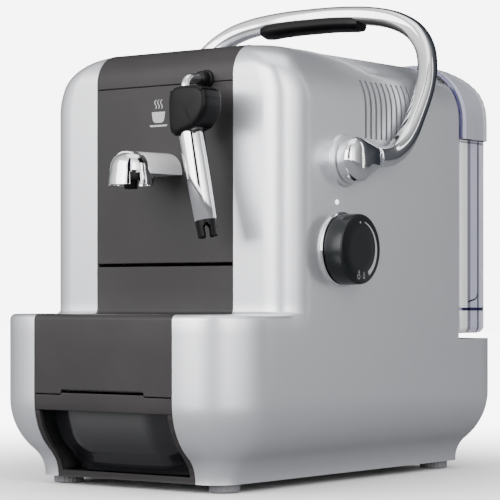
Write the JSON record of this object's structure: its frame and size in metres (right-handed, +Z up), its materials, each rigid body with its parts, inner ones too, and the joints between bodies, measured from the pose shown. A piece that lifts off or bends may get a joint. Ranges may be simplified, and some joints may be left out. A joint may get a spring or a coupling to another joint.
{
  "type": "pod coffee machine",
  "caption": "Lever-operated pod coffee machine with spout, swivelling steam wand, steam knob, pull-out bin and drip tray, and a lift-off rear water tank.",
  "frame": {"origin": "on the table under the middle of the machine's overall box", "axes": "+Z up, the spout and cup ledge face -Y, the steam knob is on the +X side"},
  "size_m": [0.251, 0.328, 0.3481],
  "materials": {
    "silver_casing": "satin silver metallic paint on moulded plastic",
    "dark_band": "fine satin warm dark grey",
    "smoke_gloss": "glossy dark smoke",
    "inner_plastic": "plain moulded black",
    "chrome": "polished",
    "black_moulding": "fine satin black",
    "knob_black": "gloss side, satin face",
    "rubber_grey": "matte",
    "steel": "fine brushed",
    "cast_alloy": "as cast",
    "brass_valve": "turned",
    "pump_body": "lacquered coil and core",
    "board_green": "solder mask",
    "lamp_white": "clear over a white lamp",
    "tank_clear": "clear with a faint violet tint",
    "lid_smoke": "clear grey smoke"
  },
  "bodies": {
    "housing": {"right_shell": "silver_casing", "left_shell": "silver_casing", "front_panel": "dark_band", "front_cap": "dark_band", "top_cover": "dark_band", "tank_bulkhead": "inner_plastic", "base_pan": "inner_plastic", "feet": "rubber_grey", "plinth_frame": "dark_band", "rear_cover": "silver_casing", "pan_screws": "steel", "drawer_runners": "inner_plastic", "tank_seat": "inner_plastic", "spout": "chrome", "spout_nozzle": "black_moulding", "brew_frame": "steel", "brew_head": "cast_alloy", "capsule_chute": "inner_plastic", "hub_collars": "chrome", "knob_bezel": "chrome", "steam_valve": "brass_valve", "led_lens": "lamp_white", "wand_collar": "black_moulding", "thermoblock": "cast_alloy", "pump": "pump_body", "pump_mounts": "rubber_grey", "flow_meter": "inner_plastic", "circuit_board": "board_green", "steam_pipe": "steel", "switch_bezel": "dark_band", "power_inlet": "inner_plastic", "inlet_pins": "brass_valve"},
    "lever": {"lever_bail": "chrome", "lever_grip": "black_moulding", "right_hub": "chrome", "left_hub": "chrome", "right_stub": "steel", "left_stub": "steel", "right_crank": "steel", "left_crank": "steel"},
    "brew_piston": {"piston": "cast_alloy"},
    "shutter": {"capsule_shutter": "inner_plastic"},
    "knob": {"steam_knob": "knob_black", "valve_spindle": "steel"},
    "wand": {"wand_pipe": "chrome", "wand_neck": "black_moulding", "wand_grip": "black_moulding", "wand_tube": "chrome", "wand_tip": "black_moulding"},
    "drawer": {"drawer_front": "dark_band", "drip_tray": "inner_plastic", "capsule_bin": "inner_plastic"},
    "grille": {"cup_grille": "steel"},
    "container": {"drip_container": "smoke_gloss", "container_strip": "dark_band"},
    "tank": {"water_tank": "tank_clear", "tank_valve": "inner_plastic"},
    "lid": {"tank_lid": "lid_smoke", "lid_pin": "steel"},
    "rocker": {"power_switch": "black_moulding"}
  },
  "joints": [
    {"name": "lever_lift", "type": "hinge", "parent": "housing", "child": "lever", "pos_m": [0, -0.034, 0.2235], "axis": [1, 0, 0], "range_deg": [0, 75]},
    {"name": "piston_slide", "type": "slide", "parent": "housing", "child": "brew_piston", "axis": [0, 1, 0], "range_m": [0, 0.0142]},
    {"name": "shutter_slide", "type": "slide", "parent": "housing", "child": "shutter", "axis": [0, 1, 0], "range_m": [0, 0.0402]},
    {"name": "knob_turn", "type": "hinge", "parent": "housing", "child": "knob", "pos_m": [0.116, -0.0384, 0.1623], "axis": [1, 0, 0], "range_deg": [0, 160]},
    {"name": "wand_swivel", "type": "hinge", "parent": "housing", "child": "wand", "pos_m": [0.03775, -0.109, 0.278], "axis": [0, -1, 0], "range_deg": [-10, 35]},
    {"name": "drawer_slide", "type": "slide", "parent": "housing", "child": "drawer", "axis": [0, -1, 0], "range_m": [0, 0.12]},
    {"name": "grille_lift", "type": "slide", "parent": "drawer", "child": "grille", "axis": [0, 0, 1], "range_m": [0, 0.03]},
    {"name": "container_slide", "type": "slide", "parent": "housing", "child": "container", "axis": [0, -1, 0], "range_m": [0, 0.13]},
    {"name": "tank_lift", "type": "slide", "parent": "housing", "child": "tank", "axis": [0, 0, 1], "range_m": [0, 0.15]},
    {"name": "lid_hinge", "type": "hinge", "parent": "tank", "child": "lid", "pos_m": [0, 0.1598, 0.25], "axis": [-1, 0, 0], "range_deg": [0, 75]},
    {"name": "rocker_switch", "type": "hinge", "parent": "housing", "child": "rocker", "pos_m": [-0.054, 0.157, 0.062], "axis": [1, 0, 0], "range_deg": [0, 12]}
  ],
  "couplings": [
    {"joint": "piston_slide", "follows": "lever_lift", "m_per_rad": 0.010696},
    {"joint": "shutter_slide", "follows": "lever_lift", "m_per_rad": 0.030558}
  ]
}
